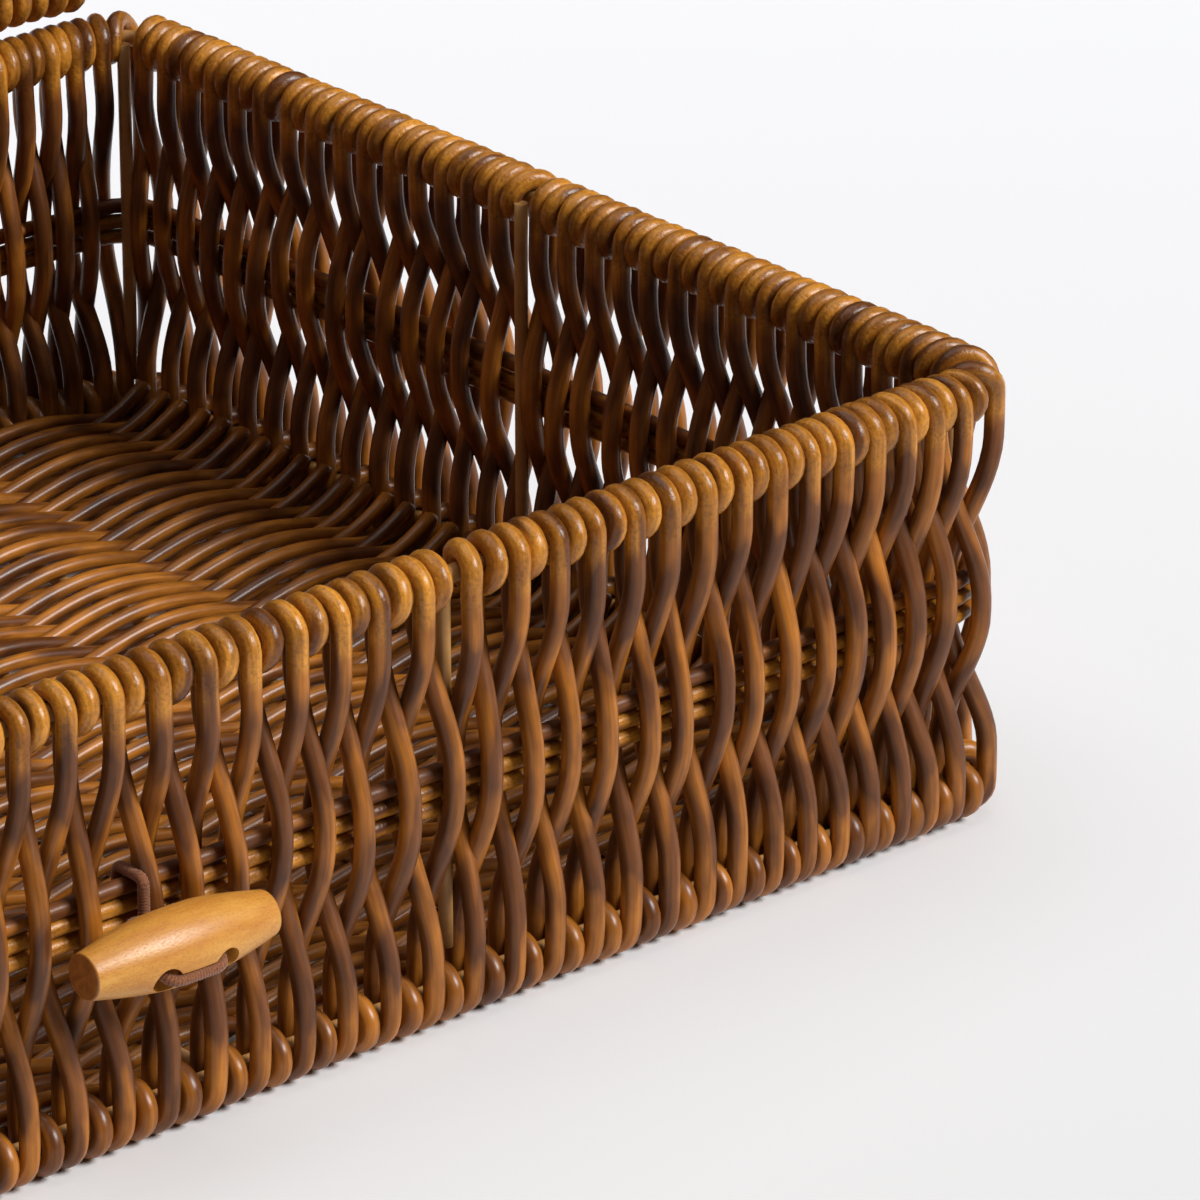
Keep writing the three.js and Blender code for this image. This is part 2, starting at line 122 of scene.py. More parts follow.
# Loop counts within one period of the winding, at which its run up, turns and run down lie, the counts
# at which uprights, corner posts and ties lie, and the share of a period before the lid's first run
LOOPS_PER_PERIOD = 2
SPOT_COUNTS = {
    "up_low": 0,
    "up_middle": 0,
    "up_high": 0,
    "tuck_in_high": 0.15,
    "tuck_out_high": 1,
    "down_high": 1.15,
    "down_middle": 1,
    "down_low": 0.6,
    "tuck_out_low": 1,
    "tuck_in_low": 1.2,
}
HIGH_SPOTS = ("up_high", "tuck_in_high", "tuck_out_high", "down_high")
LOW_SPOTS = ("down_low", "tuck_out_low", "tuck_in_low")
UPRIGHT_COUNT = 0
CORNER_COUNT = 0.1
TIE_COUNT = 0.6
LID_START_SHARE = 0.25

# How far the loops, the middles of the runs and their depths stray
LOOP_STRAY = 0.3 * MM
MIDDLE_STRAY = 0.55 * MM
DEPTH_STRAY = 0.3 * MM
HEIGHT_STRAY = 2.5 * MM

# Room that strands leave to a wire or cord, and the stretch along which they close up again
WIRE_ROOM = 2.3 * MM
WIRE_ROOM_OUTSIDE = 1.9 * MM
STILL_STRETCH = 4 * MM
CORNER_ROOM = 4.5 * MM
CORD_ROOM = 1.8 * MM
CLOSING_STRETCH = 55 * MM

# Tone of a strand by its distance from a rail: golden round the rails, brown next to them, mixed further
# on, and lowered low on the walls as painted shade, which leaves the paler painted-lit golden to the top
# rim
TONE_DISTANCES = np.array([5, 14, 17, 32]) * MM
TONE_LEVELS = (0.8, 0.05, 0.05, 0.6)
PAINTED_SHADE_LOW_SHARE = 0.78
BAND_TONES = (0.9, 0.9, 0.1)
PLAIN_TONE = 0.5
FLOOR_TONE = 0.64
EDGE_TONE = 1

# Toggle
TOGGLE_LENGTH = 44.5 * MM
TOGGLE_RADIUS = 7.7 * MM
TOGGLE_END_RADIUS = 4.7 * MM
TOGGLE_EDGE = 0.6 * MM
TOGGLE_TILT = math.radians(1.5)
TOGGLE_ROLL = math.radians(28)
TOGGLE_SIDES = 64
PROFILE_STEPS = 40
PROFILE_EDGE_STEPS = 5
HOLE_REACH = 7 * MM
HOLE_RADIUS = 3.2 * MM
HOLE_SIDES = 32
GROOVE_RADIUS = 1.6 * MM
GROOVE_PLACE = 7.9 * MM
SEAT_DEPTH = 2.2 * MM
SEAT_REACH = 11 * MM
SEAT_SIDES = 160
WORN_WIDTH = 0.35 * MM
WORN_STEPS = 3
WORN_ANGLE = math.radians(40)
SHARP_ANGLE = math.radians(45)

# Elastic, its ribs, and its loop through the toggle: shares of the way to a hole, and rises in millimetres
# above the groove in front and the seat behind
ELASTIC_RADIUS = 1.25 * MM
ELASTIC_RIB = 0.62 * MM
ELASTIC_RIB_DEPTH = 0.13 * MM
ELASTIC_STEP = ELASTIC_RIB / 4
ELASTIC_FRONT = ((0, 0.1), (0.35, 0.1), (0.66, 0.15), (0.85, -0.2), (0.97, -1.4), (1, -3))
ELASTIC_BEHIND = ((1, -2.2), (0.97, -0.5), (0.85, 0.7), (0.66, 0.75), (0.35, 0.25), (0, 0.05))
KNOT_STEP = 0.9 * MM
KNOT_ROUNDINGS = 2
ANCHOR_BEND = 1.7 * MM
ANCHOR_DRAW = 1.2 * MM

# Colours as sRGB levels, from dark to pale
BROWN = ((90, 48, 16), (130, 75, 30))
HONEY = ((132, 75, 20), (194, 119, 38))
# Paler honey for the loops of the top rim: partly their own honey, partly painted light for the light they
# catch
HONEY_PAINTED_LIT = ((150, 88, 20), (224, 150, 52))
TAN_PAINT = ((168, 118, 62), (196, 146, 86))
PALE_WOOD = ((188, 119, 42), (200, 136, 53), (212, 154, 68))
END_WOOD = ((124, 70, 22), (160, 98, 40))
ELASTIC_BROWN = ((92, 48, 20), (146, 86, 42))
# Pale floor, with painted shade in its darker colour in front
FLOOR_PAINTED_SHADE_TO_PALE = ((223, 223, 223), (242, 242, 245))

# How often noise changes: round a strand and in a metre along it, or in a metre along X, Y and Z
STRAND_PATCHES = (0.45, 0.45, 48)
STRAND_CLOUDS = (0.6, 0.6, 95)
STRAND_STREAKS = (3.2, 3.2, 60)
STRAND_CREASES = (2.6, 2.6, 1500)
ELASTIC_FIBRES = (4, 4, 3200)
PAINT_CLOUDS = (120, 120, 120)
PAINT_SPECKLE = (1500, 1500, 1500)
WOOD_GRAIN = (60, 380, 380)
WOOD_PORES = (1500, 2600, 2600)
WOOD_END_RINGS = (1, 900, 500)

# Places of a noise at which its darkest and palest colours lie
NOISE_ENDS = (0.3, 0.7)
GRAIN_PLACES = (0.3, 0.5, 0.72)

# Greys at places of a noise or a tone, which mix colours, darken them or set the roughness
TONE_STOPS = ((0.57, 0), (0.63, 0.5), (0.72, 1))
LOOP_STOPS = ((0.62, 0), (0.8, 1))
STREAK_STOPS = ((0.3, 0.45), (0.7, 1))
# Painted shade in the creases of the loops
CREASE_SHADE_STOPS = ((0.34, 0.74), (0.52, 1))
PORE_STOPS = ((0.36, 0.66), (0.48, 1))
STRAND_ROUGHNESS = ((0.1, 0.52), (0.85, 0.33))
PAINT_ROUGHNESS = ((0.3, 0.38), (0.7, 0.55))
WOOD_ROUGHNESS = ((0.3, 0.5), (0.6, 0.36))

# How much leaning, streaks and pores count, and the depths at which end grain starts and is full
LEANING_SHARE = 0.3
STREAK_SHARE = 0.7
PORE_SHARE = 0.5
END_WOOD_START = 0.5 * MM
END_WOOD_FULL = 0.15 * MM

# Light: where each lamp stands, its width in degrees and its level, and the levels of the sky
OVERHEAD_LAMP = ((-0.05, 0.2, 1), 60, 0.32)
FRONT_LAMP = ((0.38, -0.64, 0.667), 26, 1.17)
HORIZON_LEVEL = 0.1
SKY_LEVEL = 0.02
SKY_HEIGHT = 0.35
STAGE_REACH = 6
# Distances along the view over which the floor's painted shade in front fades out
PAINTED_SHADE_FADE = (-0.3, 0.7)
VIEW_REACH = 20

draws = np.random.default_rng(SEED)


# Places taken from the frame
def middle(node):
    low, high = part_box(node)
    return (low + high) / 2


def half_size(node):
    low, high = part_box(node)
    return (high - low) / 2


TOP_RAIL = middle("top_rail")
BOTTOM_RAIL = middle("bottom_rail")
RAIL_HALF = half_size("top_rail").z
HALF_X = half_size("top_rail").x - RAIL_HALF
HALF_Y = half_size("top_rail").y - RAIL_HALF
CENTRE_Y = TOP_RAIL.y
BAND_Z = middle("mid_band_2").z + BAND_LIFT
UPRIGHT_X = middle("front_upright_right").x
TIE_X = middle("hinge_tie_right").x
RIB_COUNT = sum(name.startswith("floor_rib") for name in frame["nodes"])
RIB_PLACES = [middle(f"floor_rib_{i + 1}").x for i in range(RIB_COUNT)]
BAY = RIB_PLACES[1] - RIB_PLACES[0]


# Materials
def new_material(name):
    material = bpy.data.materials.new(name)
    material.use_nodes = True
    tree = material.node_tree
    shader = tree.nodes["Principled BSDF"]
    return material, tree, shader


def add_node(tree, kind, values=None, links=None, **settings):
    """Adds a shader node, with its settings, socket values and incoming links."""
    node = tree.nodes.new(kind)
    for name, value in settings.items():
        setattr(node, name, value)
    for socket, value in (values or {}).items():
        node.inputs[socket].default_value = value
    for socket, source in (links or {}).items():
        tree.links.new(source, node.inputs[socket])
    return node


def linear(red, green, blue):
    """Linear colour from sRGB levels of 0 to 255."""
    levels = []
    for level in (red, green, blue):
        share = level / 255
        levels.append(share / 12.92 if share <= 0.04045 else ((share + 0.055) / 1.055) ** 2.4)
    return (*levels, 1)


def ramp(tree, source, stops):
    """Colour ramp on a value, from (place, colour) stops."""
    node = add_node(tree, "ShaderNodeValToRGB", links={"Fac": source})
    elements = node.color_ramp.elements
    while len(elements) < len(stops):
        elements.new(0.5)
    for element, (place, colour) in zip(elements, stops):
        element.position = place
        element.color = colour
    return node.outputs["Color"]


def grey(level):
    return (level, level, level, 1)


def greys(tree, source, stops):
    """Ramp of greys on a value, from (place, level) stops."""
    return ramp(tree, source, [(place, grey(level)) for place, level in stops])


def tints(tree, source, colours, places=NOISE_ENDS):
    """Ramp of sRGB colours on a noise, each at its place."""
    return ramp(tree, source, [(place, linear(*colour)) for place, colour in zip(places, colours)])


def mix_colour(tree, share, first, second, blend="MIX"):
    """Mix of two colours: sockets 0, 6 and 7 take the share and the colours, output 2 gives the mix."""
    node = add_node(tree, "ShaderNodeMix", data_type="RGBA", blend_type=blend)
    for socket, value in ((0, share), (6, first), (7, second)):
        if isinstance(value, bpy.types.NodeSocket):
            tree.links.new(value, node.inputs[socket])
        else:
            node.inputs[socket].default_value = value
    return node.outputs[2]


def noise(tree, vector, rates, detail=2.0, roughness=0.5):
    """Noise that changes along each axis of a vector at its own rate."""
    scaled = add_node(tree, "ShaderNodeVectorMath", operation="MULTIPLY", links={0: vector})
    scaled.inputs[1].default_value = rates
    node = add_node(
        tree,
        "ShaderNodeTexNoise",
        values={"Scale": 1.0, "Detail": detail, "Roughness": roughness},
        links={"Vector": scaled.outputs["Vector"]},
    )
    return node.outputs["Fac"]


def attribute(tree, name, output):
    return add_node(tree, "ShaderNodeAttribute", attribute_name=name).outputs[output]


def add_bump(tree, shader, height, strength, distance):
    node = add_node(
        tree,
        "ShaderNodeBump",
        values={"Strength": strength, "Distance": distance},
        links={"Height": height},
    )
    tree.links.new(node.outputs["Normal"], shader.inputs["Normal"])


def strand_material():
    """Two-tone synthetic rattan, honey and creased where it turns round a rail; on the top rim's loops the
    honey is made paler as painted light, and their creases get painted shade.

    The strand_place attribute holds the place round and along a strand, strand_tone its leaning to honey,
    which is lowered low on the walls as painted shade.
    """
    material, tree, shader = new_material("two_tone_strand")
    place = attribute(tree, "strand_place", "Vector")
    leaning = attribute(tree, "strand_tone", "Fac")
    patches = noise(tree, place, STRAND_PATCHES, detail=1.5, roughness=0.4)
    leant = add_node(
        tree,
        "ShaderNodeMath",
        operation="MULTIPLY_ADD",
        values={1: LEANING_SHARE},
        links={0: leaning, 2: patches},
    ).outputs[0]
    tone = greys(tree, leant, TONE_STOPS)
    loops = greys(tree, leaning, LOOP_STOPS)
    clouds = noise(tree, place, STRAND_CLOUDS)
    honey, honey_painted_lit, brown = (tints(tree, clouds, colours) for colours in (HONEY, HONEY_PAINTED_LIT, BROWN))
    # Loops take the paler honey: painted light on the top rim's loops, where they catch the lamps
    two_tone = mix_colour(tree, tone, brown, mix_colour(tree, loops, honey, honey_painted_lit))
    streaks = greys(tree, noise(tree, place, STRAND_STREAKS, detail=3), STREAK_STOPS)
    streaked = mix_colour(tree, STREAK_SHARE, two_tone, streaks, "MULTIPLY")
    creases = noise(tree, place, STRAND_CREASES, detail=3)
    # Painted shade: the creases darken the colour on the loops
    crease_shade = mix_colour(tree, loops, grey(1), greys(tree, creases, CREASE_SHADE_STOPS))
    tree.links.new(mix_colour(tree, 1, streaked, crease_shade, "MULTIPLY"), shader.inputs["Base Color"])
    satin = greys(tree, leaning, STRAND_ROUGHNESS)
    tree.links.new(satin, shader.inputs["Roughness"])
    creased = add_node(tree, "ShaderNodeMath", operation="MULTIPLY", links={0: creases, 1: loops})
    add_bump(tree, shader, creased.outputs[0], strength=0.8, distance=0.24 * MM)
    shader.inputs["Specular IOR Level"].default_value = 0.3
    shader.inputs["Coat Weight"].default_value = 0.22
    shader.inputs["Coat Roughness"].default_value = 0.22
    return material


def wire_material():
    """Pale tan paint on wire, a little uneven."""
    material, tree, shader = new_material("tan_painted_wire")
    place = add_node(tree, "ShaderNodeTexCoord").outputs["Object"]
    clouds = noise(tree, place, PAINT_CLOUDS, detail=4)
    tree.links.new(tints(tree, clouds, TAN_PAINT), shader.inputs["Base Color"])
    speckle = noise(tree, place, PAINT_SPECKLE)
    tree.links.new(greys(tree, speckle, PAINT_ROUGHNESS), shader.inputs["Roughness"])
    add_bump(tree, shader, speckle, strength=0.2, distance=0.06 * MM)
    return material


def wood_material():
    """Varnished pale wood with faint grain along X, fine pores and darker end grain."""
    material, tree, shader = new_material("varnished_wood")
    place = add_node(tree, "ShaderNodeTexCoord").outputs["Object"]
    grain = noise(tree, place, WOOD_GRAIN, detail=4, roughness=0.6)
    bands = tints(tree, grain, PALE_WOOD, GRAIN_PLACES)
    pores = noise(tree, place, WOOD_PORES)
    speckled = mix_colour(tree, PORE_SHARE, bands, greys(tree, pores, PORE_STOPS), "MULTIPLY")
    across = add_node(tree, "ShaderNodeSeparateXYZ", links={0: place}).outputs["X"]
    reach = add_node(tree, "ShaderNodeMath", operation="ABSOLUTE", links={0: across}).outputs[0]
    at_end = add_node(
        tree,
        "ShaderNodeMapRange",
        values={1: TOGGLE_LENGTH / 2 - END_WOOD_START, 2: TOGGLE_LENGTH / 2 - END_WOOD_FULL},
        links={0: reach},
    ).outputs[0]
    end_colour = tints(tree, noise(tree, place, WOOD_END_RINGS, detail=3), END_WOOD)
    tree.links.new(mix_colour(tree, at_end, speckled, end_colour), shader.inputs["Base Color"])
    tree.links.new(greys(tree, pores, WOOD_ROUGHNESS), shader.inputs["Roughness"])
    add_bump(tree, shader, pores, strength=0.5, distance=0.1 * MM)
    shader.inputs["Coat Weight"].default_value = 0.15
    shader.inputs["Coat Roughness"].default_value = 0.35
    return material


def elastic_material():
    """Brown ribbed elastic. The strand_place attribute holds the place round and along it."""
    material, tree, shader = new_material("brown_elastic")
    fibres = noise(tree, attribute(tree, "strand_place", "Vector"), ELASTIC_FIBRES, detail=3)
    tree.links.new(tints(tree, fibres, ELASTIC_BROWN), shader.inputs["Base Color"])
    shader.inputs["Roughness"].default_value = 0.8
    shader.inputs["Sheen Weight"].default_value = 0.3
    add_bump(tree, shader, fibres, strength=0.4, distance=0.1 * MM)
    return material


STRAND = strand_material()
WIRE = wire_material()
WOOD = wood_material()
ELASTIC = elastic_material()


# Tubes
def unit(vectors):
    return vectors / np.linalg.norm(vectors, axis=-1, keepdims=True)


def lengths_along(points):
    """Distance along a path at each of its points."""
    return np.concatenate([[0], np.cumsum(np.linalg.norm(np.diff(points, axis=0), axis=1))])


def cross_directions(points, closed):
    """Two directions across the path at each point, turned as little as possible from point to point."""
    if closed:
        steps = np.roll(points, -1, 0) - np.roll(points, 1, 0)
    else:
        steps = np.gradient(points, axis=0)
    tangents = unit(steps)
    helper = np.eye(3)[np.argmin(np.abs(tangents[0]))]
    current = unit(np.cross(tangents[0], helper))
    first = np.empty_like(points)
    for i, tangent in enumerate(tangents):
        current = current - tangent * (current @ tangent)
        current /= math.sqrt(current @ current)
        first[i] = current
    return first, np.cross(tangents, first)


def tube(name, points, radii, material, sides=STRAND_SIDES, closed=False, tones=PLAIN_TONE):
    """Round tube along a path, with flat ends or closed on itself, and its strand attributes."""
    points = np.asarray(points, float)
    count = len(points)
    radii = np.broadcast_to(np.asarray(radii, float), (count,))
    first, second = cross_directions(points, closed)
    angles = np.arange(sides) * 2 * math.pi / sides
    around = np.cos(angles)[None, :, None] * first[:, None, :]
    around = around + np.sin(angles)[None, :, None] * second[:, None, :]
    vertices = points[:, None, :] + radii[:, None, None] * around
    place = np.empty((count, sides, 3), np.float32)
    place[:, :, 0] = np.cos(angles)
    place[:, :, 1] = np.sin(angles)
    place[:, :, 2] = lengths_along(points)[:, None]
    rows = np.arange(count if closed else count - 1)[:, None] * sides
    columns = np.arange(sides)[None, :]
    following = (np.arange(sides) + 1)[None, :] % sides
    ahead = (rows + sides) % (count * sides)
    corners = np.stack([rows + columns, rows + following, ahead + following, ahead + columns], -1)
    faces = corners.reshape(-1, 4).tolist()
    sides_end = len(faces)
    if not closed:
        faces.append(list(range(sides))[::-1])
        faces.append(list(range((count - 1) * sides, count * sides)))
    mesh = bpy.data.meshes.new(name)
    mesh.from_pydata(vertices.reshape(-1, 3), [], faces)
    smooth = np.zeros(len(faces), bool)
    smooth[:sides_end] = True
    mesh.polygons.foreach_set("use_smooth", smooth)
    attribute = mesh.attributes.new("strand_place", "FLOAT_VECTOR", "POINT")
    attribute.data.foreach_set("vector", place.ravel())
    leaning = np.broadcast_to(np.asarray(tones, np.float32), (count,))
    attribute = mesh.attributes.new("strand_tone", "FLOAT", "POINT")
    attribute.data.foreach_set("value", np.repeat(leaning, sides))
    return new_piece(name, mesh, material)


def new_piece(name, mesh, material):
    mesh.materials.append(material)
    piece = bpy.data.objects.new(name, mesh)
    bpy.context.scene.collection.objects.link(piece)
    return piece


def dress(piece, body, slot, *nodes):
    """The piece rides on its body and stands for its nodes. The slot is not used."""
    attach(piece, body)
    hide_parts(*nodes)


# Rail line round the basket, from the front wall's left end to the right and on round the back
def rail_line():
    """Arrays of the distance along the line, the place and the angle that faces outwards."""
    places = []
    for quarter in range(4):
        half, across = (HALF_X, HALF_Y) if quarter % 2 == 0 else (HALF_Y, HALF_X)
        facing = (quarter - 1) * math.pi / 2
        out = np.array([math.cos(facing), math.sin(facing)])
        ahead = np.array([-out[1], out[0]])
        straight = half - CORNER_RADIUS
        for share in np.linspace(0, 1, round(2 * straight / RAIL_STEP), endpoint=False):
            spot = out * across + ahead * straight * (2 * share - 1)
            places.append((*spot, facing))
        centre = out * (across - CORNER_RADIUS) + ahead * straight
        arc = CORNER_RADIUS * math.pi / 2
        for share in np.linspace(0, 1, round(arc / RAIL_STEP), endpoint=False):
            angle = facing + share * math.pi / 2
            spot = centre + CORNER_RADIUS * np.array([math.cos(angle), math.sin(angle)])
            places.append((*spot, angle))
    x, y, facing = np.array(places).T
    closing = np.hypot(np.diff(x, append=x[0]), np.diff(y, append=y[0]))
    distance = np.concatenate([[0], np.cumsum(closing)])
    return (
        distance,
        np.append(x, x[0]),
        np.append(y, y[0]) + CENTRE_Y,
        np.append(facing, facing[0] + 2 * math.pi),
    )


RAIL_AT, RAIL_X, RAIL_Y, RAIL_FACING = rail_line()
ROUND = RAIL_AT[-1]
LONG_STRAIGHT = 2 * (HALF_X - CORNER_RADIUS)
SIDE_STRAIGHT = 2 * (HALF_Y - CORNER_RADIUS)
CORNER_ARC = CORNER_RADIUS * math.pi / 2
RIGHT_START = LONG_STRAIGHT + CORNER_ARC
BACK_START = RIGHT_START + SIDE_STRAIGHT + CORNER_ARC
LEFT_START = BACK_START + LONG_STRAIGHT + CORNER_ARC


def rail_place(at, out, height):
    """Points at a distance along the rail line, outwards from it and up."""
    at = np.mod(at, ROUND)
    facing = np.interp(at, RAIL_AT, RAIL_FACING)
    x = np.interp(at, RAIL_AT, RAIL_X) + out * np.cos(facing)
    y = np.interp(at, RAIL_AT, RAIL_Y) + out * np.sin(facing)
    return np.stack([x, y, np.broadcast_to(height, x.shape)], -1)


def front_at(x):
    return LONG_STRAIGHT / 2 + x


def back_at(x):
    return BACK_START + LONG_STRAIGHT / 2 - x


CORNER_AT = {
    1: LONG_STRAIGHT + CORNER_ARC / 2,
    2: BACK_START - CORNER_ARC / 2,
    3: LEFT_START - CORNER_ARC / 2,
    4: ROUND - CORNER_ARC / 2,
}
UPRIGHTS_AT = [front_at(UPRIGHT_X), front_at(-UPRIGHT_X), back_at(UPRIGHT_X), back_at(-UPRIGHT_X)]
UPRIGHTS_AT += [LEFT_START + SIDE_STRAIGHT / 2, RIGHT_START + SIDE_STRAIGHT / 2]
TIES_AT = [back_at(TIE_X), back_at(-TIE_X)]


def pitch_at(at):
    """Loop pitch along the rail line: wide in the middle of the long walls and close on the sides."""
    pitch = np.full_like(at, CORNER_PITCH)
    for start in (0, BACK_START):
        from_middle = (at - start - LONG_STRAIGHT / 2) / HALF_X
        on_wall = (at >= start) & (at <= start + LONG_STRAIGHT)
        pitch[on_wall] = (LONG_PITCH - LONG_PITCH_LOSS * from_middle**2)[on_wall]
    for start in (LEFT_START, RIGHT_START):
        pitch[(at >= start) & (at <= start + SIDE_STRAIGHT)] = SIDE_PITCH
    return pitch


# Winding
def winding_table():
    """Distances along the rail line and the loop count at each, for a little over one round."""
    counts = np.concatenate([[0], np.cumsum(np.diff(RAIL_AT) / pitch_at(RAIL_AT[:-1]))])
    fixed = [(at, UPRIGHT_COUNT) for at in UPRIGHTS_AT]
    fixed += [(at, CORNER_COUNT) for at in CORNER_AT.values()]
    fixed = sorted(fixed + [(at, TIE_COUNT) for at in TIES_AT])
    places = np.array([at for at, _ in fixed])
    natural = np.interp(places, RAIL_AT, counts)
    phases = np.array([phase for _, phase in fixed])
    wanted = phases + LOOPS_PER_PERIOD * np.round((natural - phases) / LOOPS_PER_PERIOD)
    total = LOOPS_PER_PERIOD * round(counts[-1] / LOOPS_PER_PERIOD)
    shifts = wanted - natural
    closing = total - counts[-1]
    places = np.concatenate([[places[-1] - ROUND], places, [places[0] + ROUND]])
    shifts = np.concatenate([[shifts[-1] - closing], shifts, [shifts[0] + closing]])
    counts = counts + np.interp(RAIL_AT, places, shifts)
    inner = slice(0, -1)
    distances = np.concatenate([RAIL_AT[inner] - ROUND, RAIL_AT[inner], RAIL_AT + ROUND])
    table = np.concatenate([counts[inner] - total, counts[inner], counts + total])
    return distances, table, total


def spread(at, wires, room, round_length=None, still=0.0):
    """Moves a place along the line away from wires, less where it lies on one, and closes up again."""
    for wire in wires:
        offset = at - wire
        if round_length:
            offset = (offset + round_length / 2) % round_length - round_length / 2
        if abs(offset) < CLOSING_STRETCH:
            held = min(1, abs(offset) / still) if still else 1
            at += math.copysign(held * room * (1 - abs(offset) / CLOSING_STRETCH), offset)
    return at


def eased(shares):
    return shares * shares * (3 - 2 * shares)


def run_points(knots):
    """Smooth run through knots of (along, out, up), which changes sides nearer to the inner knots."""
    points = []
    last = len(knots) - 2
    for i, ((along_a, out_a, up_a), (along_b, out_b, up_b)) in enumerate(zip(knots, knots[1:])):
        shares = np.linspace(0, 1, RUN_STEPS, endpoint=False)
        centre = 0.5 + CROSSING_SHIFT * ((i == 0) - (i == last))
        swing = eased(np.clip((shares - centre + CROSSING_HALF) / (2 * CROSSING_HALF), 0, 1))
        along = along_a + (along_b - along_a) * eased(shares)
        out = out_a + (out_b - out_a) * swing
        up = up_a + (up_b - up_a) * shares
        points.append(np.stack([along, out, up], -1))
    return np.concatenate(points)


def turn_points(places, rail_up, start, way=1):
    """One and a half turns round a rail, from the start angle, through four places half a turn apart."""
    angles = np.linspace(0, 3 * math.pi, WRAP_STEPS, endpoint=False)
    along = np.interp(angles, np.arange(4) * math.pi, places)
    out = WRAP_REACH * np.cos(start + way * angles)
    up = rail_up + WRAP_RISE * np.sin(start + way * angles)
    return np.stack([along, out, up], -1)


def stray(size):
    return float(np.clip(draws.normal(0, size), -2 * size, 2 * size))


def depth(side):
    return side * (CROSSING_REACH + abs(stray(DEPTH_STRAY)))


def period_points(spots, next_start, low, high, crossings):
    """One period of the winding: up outside, round the high rail, down inside, round the low rail."""
    way = 1 if high > low else -1
    up_run = [(spots["up_low"], WRAP_REACH, low)]
    down_run = [(spots["down_high"], -WRAP_REACH, high)]
    for i, height in enumerate(crossings):
        side = -1 if i % 2 == 0 else 1
        up_run.append((spots["up_middle"][i], depth(side), height + stray(HEIGHT_STRAY)))
    for i, height in reversed(list(enumerate(crossings))):
        side = 1 if i % 2 == 0 else -1
        down_run.append((spots["down_middle"][i], depth(side), height + stray(HEIGHT_STRAY)))
    up_run.append((spots["up_high"], WRAP_REACH, high))
    down_run.append((spots["down_low"], -WRAP_REACH, low))
    high_turn = [spots[name] for name in HIGH_SPOTS]
    low_turn = [spots[name] for name in LOW_SPOTS] + [next_start]
    return np.concatenate(
        [
            run_points(up_run),
            turn_points(high_turn, high, 0, way),
            run_points(down_run),
            turn_points(low_turn, low, math.pi, way),
        ]
    )


# Windings: an even fine path, of which some rings are kept
def rounded_off(values, step, length):
    """Values along a closed path, with their sharp changes rounded over a length."""
    waves = np.fft.rfftfreq(len(values), step)
    kept = np.exp(-2 * (math.pi * waves * length) ** 2)
    return np.fft.irfft(np.fft.rfft(values) * kept, len(values))


def winding_path(periods, end):
    """Even fine path of (along, out, up) through the periods, and the index at which each starts."""
    flat = np.concatenate([*periods, [end]])
    lengths = lengths_along(flat)
    count = round(lengths[-1] / FINE_STEP)
    at = np.arange(count) * lengths[-1] / count
    along, out, up = (np.interp(at, lengths, column) for column in flat.T)
    trend = flat[0, 0] + (end[0] - flat[0, 0]) * at / lengths[-1]
    along = trend + rounded_off(along - trend, FINE_STEP, BEND_LENGTH)
    firsts = np.cumsum([0] + [len(period) for period in periods[:-1]])
    return np.stack([along, out, up], -1), np.searchsorted(at, lengths[firsts])


def rail_distances(path, low, high):
    return np.minimum(np.abs(path[:, 2] - low), np.abs(path[:, 2] - high))


def ring_choice(distances):
    """Indices of the rings to keep: close together round the rails and further apart on the runs."""
    steps = np.where(distances < WRAP_ZONE, WRAP_RING_STEP, RUN_RING_STEP)
    passed = np.floor(np.cumsum(FINE_STEP / steps))
    return np.nonzero(np.diff(passed, prepend=-1))[0]


def strand_radii(count):
    """Radii along a winding, which swell and thin slowly."""
    at = np.arange(count) * FINE_STEP
    wave = np.zeros(count)
    for length in SWELL_LENGTHS:
        wave += np.sin(2 * math.pi * at / length + draws.uniform(0, 2 * math.pi)) / len(SWELL_LENGTHS)
    return STRAND_RADIUS * (1 + STRAND_VARIES * wave)


def strand_tones(distances):
    return np.interp(distances, TONE_DISTANCES, TONE_LEVELS)


# Wall weave: one strand wound round the whole basket, cut into the frame's walls and corners
def wall_spots(period, place_of):
    """Places along the rail line of one period's loops and runs."""
    spots = {}
    for name, count in SPOT_COUNTS.items():
        size = MIDDLE_STRAY if name.endswith("middle") else LOOP_STRAY
        spots[name] = place_of(LOOPS_PER_PERIOD * period + count) + stray(size)
    corners = list(CORNER_AT.values())
    for name in ("tuck_in_high", "down_high", "up_middle"):
        spots[name] = spread(spots[name], UPRIGHTS_AT, WIRE_ROOM, ROUND)
        spots[name] = spread(spots[name], corners, CORNER_ROOM, ROUND)
    for name in ("up_high", "tuck_out_high"):
        spots[name] = spread(spots[name], UPRIGHTS_AT, WIRE_ROOM_OUTSIDE, ROUND, STILL_STRETCH)
    for name in HIGH_SPOTS:
        spots[name] = spread(spots[name], TIES_AT, CORD_ROOM, ROUND)
    for name in ("up_middle", "down_middle"):
        spots[name] = [spread(spots[name], [front_at(0)], CORD_ROOM, ROUND)]
    return spots


